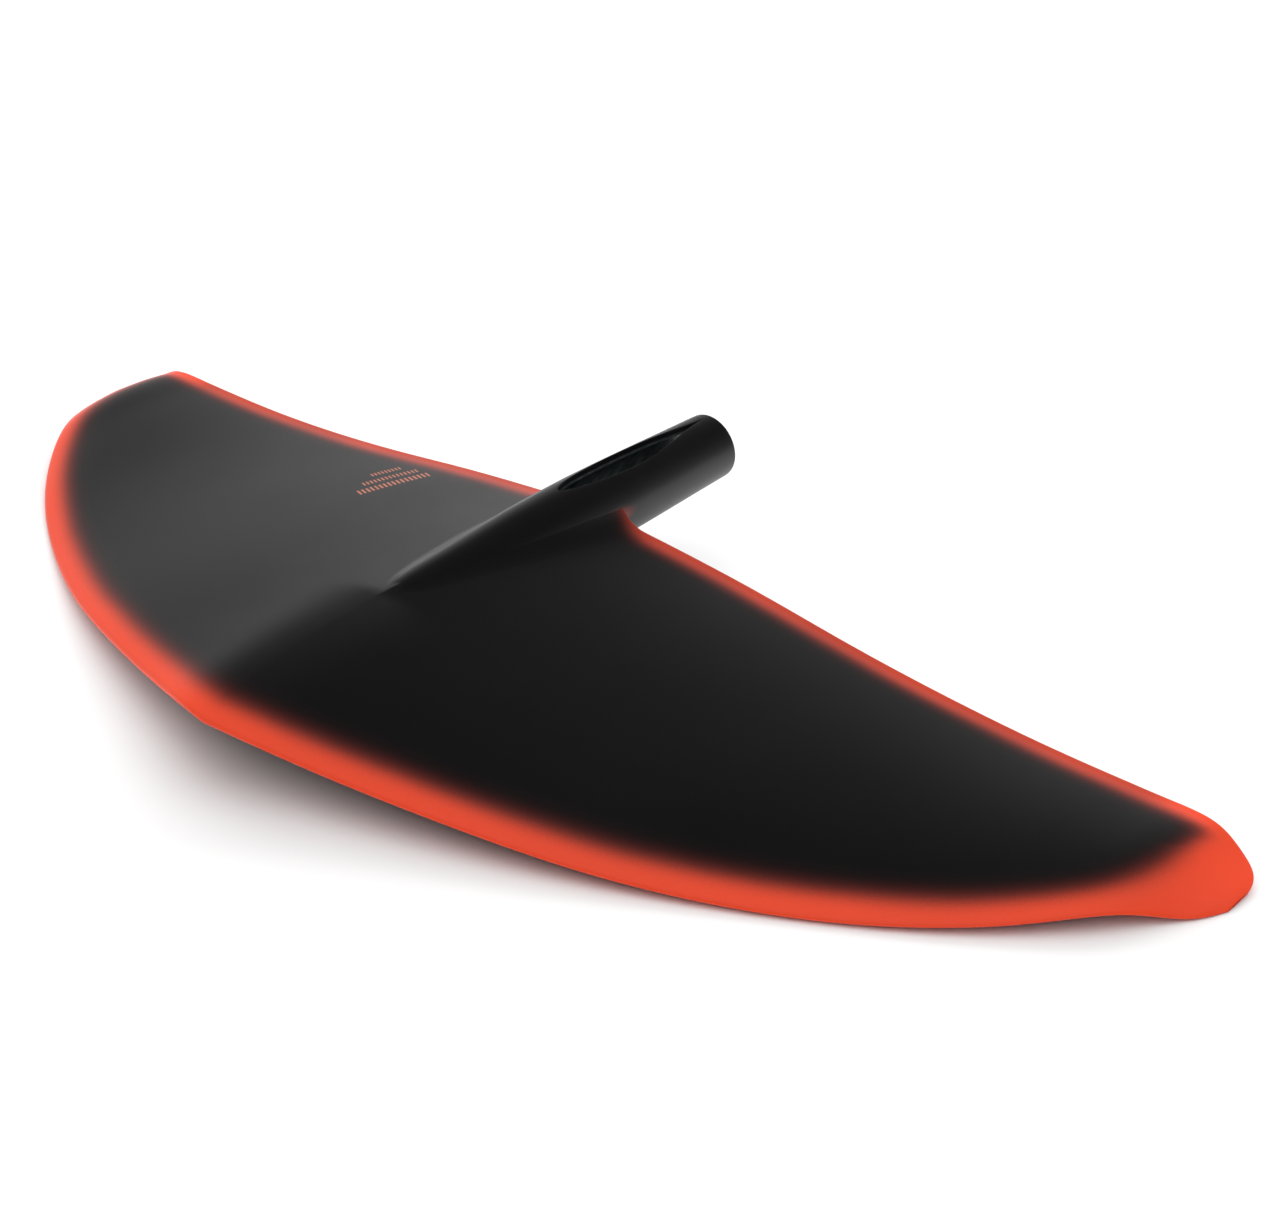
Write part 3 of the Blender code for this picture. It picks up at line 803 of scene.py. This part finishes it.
def make_steel(name):
    s = Shader(name)
    rings = s.noise(s.position((1, 1, 40)), 300.0, 2.0)
    cloud = s.noise(s.position(), 500.0, 3.0)
    colour = s.mix(cloud, (0.50, 0.50, 0.51), (0.62, 0.62, 0.63))
    normal = s.bump(rings, 0.01 * MM, 0.6)
    return s.finish(colour, s.range(cloud, 0.3, 0.7, 0.22, 0.36), normal, Metallic=1.0)


def dress(item, material):
    item.data.materials.clear()
    item.data.materials.append(material)
    for polygon in item.data.polygons:
        polygon.material_index = 0


def dress_all(skins, shell, liner):
    dress(skins["upper_laminate"], make_paint("sprayed_lacquer_upper", "paint_depth", with_marks=True))
    dress(skins["lower_laminate"], make_paint("sprayed_lacquer_lower", "paint_depth"))
    dress(shell, make_paint("sprayed_lacquer_socket", "overspray"))
    dress(liner, make_weave("bare_twill"))
    finishes = {
        "glass_laminate": make_laminate("machined_laminate"),
        "stainless_steel": make_steel("turned_steel"),
        "foam": make_foam("closed_cell_foam", (0.66, 0.60, 0.45), (0.46, 0.40, 0.28), 900.0),
        "dense_foam": make_foam("dense_foam", (0.50, 0.37, 0.20), (0.34, 0.24, 0.12), 1500.0),
        "carbon_strip": make_strip("one_way_carbon"),
    }
    slots = {row["node"]: row["material_slot"] for row in frame["record"]["subparts"]}
    for name, item in frame["nodes"].items():
        if slots[name] in finishes:
            dress(item, finishes[slots[name]])


# ---------------------------------------------------------------- studio


def make_floor():
    mesh = bpy.data.meshes.new("floor")
    size = 9.0
    corners = [(-size, -size, 0), (size, -size, 0), (size, size, 0), (-size, size, 0)]
    mesh.from_pydata(corners, [], [(0, 1, 2, 3)])
    floor = bpy.data.objects.new("floor", mesh)
    bpy.context.scene.collection.objects.link(floor)
    floor.location.z = -0.2 * MM
    s = Shader("pale_floor")
    cloud = s.noise(s.position(), 3.0, 3.0)
    colour = s.mix(cloud, (0.86, 0.86, 0.86), (0.88, 0.88, 0.88))
    s.finish(colour, 0.75)
    s.main.inputs["Specular IOR Level"].default_value = 0.2
    dress(floor, s.material)
    return floor


def add_area(name, place, target, size, power, colour=(1, 1, 1), glossy=True):
    light = bpy.data.lights.new(name, "AREA")
    light.shape = "RECTANGLE"
    light.size, light.size_y = size
    light.energy = power
    light.color = colour
    item = bpy.data.objects.new(name, light)
    bpy.context.scene.collection.objects.link(item)
    item.location = place
    item.rotation_euler = (Vector(target) - Vector(place)).to_track_quat("-Z", "Y").to_euler()
    item.visible_glossy = glossy
    return item


def make_world():
    world = bpy.data.worlds.new("studio")
    bpy.context.scene.world = world
    world.use_nodes = True
    tree = world.node_tree
    background = tree.nodes["Background"]
    source = tree.nodes.new("ShaderNodeTexCoord").outputs["Generated"]
    parts = tree.nodes.new("ShaderNodeSeparateXYZ")
    tree.links.new(source, parts.inputs[0])
    ramp = tree.nodes.new("ShaderNodeValToRGB")
    tree.links.new(parts.outputs[2], ramp.inputs[0])
    stops = ramp.color_ramp.elements
    stops[0].position, stops[0].color = 0.0, (0.95, 0.95, 0.95, 1)
    stops[1].position, stops[1].color = 0.60, (0.03, 0.03, 0.03, 1)
    middle_stop = stops.new(0.36)
    middle_stop.color = (0.70, 0.70, 0.70, 1)
    tree.links.new(ramp.outputs[0], background.inputs[0])
    glow = tree.nodes.new("ShaderNodeVectorMath")
    glow.operation = "DOT_PRODUCT"
    tree.links.new(source, glow.inputs[0])
    glow.inputs[1].default_value = (-0.72, 0.604, 0.342)
    strength = tree.nodes.new("ShaderNodeMapRange")
    strength.interpolation_type = "SMOOTHSTEP"
    tree.links.new(glow.outputs["Value"], strength.inputs[0])
    for place, value in zip(strength.inputs[1:5], (0.35, 1.0, 0.24, 0.66)):
        place.default_value = value
    tree.links.new(strength.outputs[0], background.inputs[1])


def make_lights():
    add_area("overhead", (-0.5, 0.6, 2.6), (-0.5, 0.6, 0), (9, 9), 320, glossy=False)
    add_area("back_low", (-1.9, 2.1, 1.5), (0, 0, 0), (5, 1.6), 85, glossy=False)
    add_area("front_fill", (1.6, -1.9, 1.5), (0, 0, 0.02), (1.4, 1.0), 3, glossy=False)


def make_camera():
    camera = bpy.data.cameras.new("camera")
    camera.sensor_width = 36
    camera.sensor_fit = "HORIZONTAL"
    camera.lens = 71.8
    camera.clip_start = 0.01
    item = bpy.data.objects.new("camera", camera)
    bpy.context.scene.collection.objects.link(item)
    right = Vector((0.737115, 0.673547, -0.054723))
    up = Vector((-0.327779, 0.427178, 0.842662))
    back = Vector((0.590950, -0.603202, 0.535654))
    local = Matrix((right, up, back)).transposed().to_4x4()
    local.translation = Vector((0.78062, -0.69529, 0.63186))
    item.matrix_world = REST @ local
    bpy.context.scene.camera = item


def plain(box):
    return [[float(v) for v in corner] for corner in box]


make_camera()
wing_skins = make_skins()
sleeve, sleeve_lining = make_socket()
dress_all(wing_skins, sleeve, sleeve_lining)
make_floor()
make_world()
make_lights()
bpy.context.scene.view_settings.view_transform = "Standard"
bpy.context.scene.view_settings.look = "None"
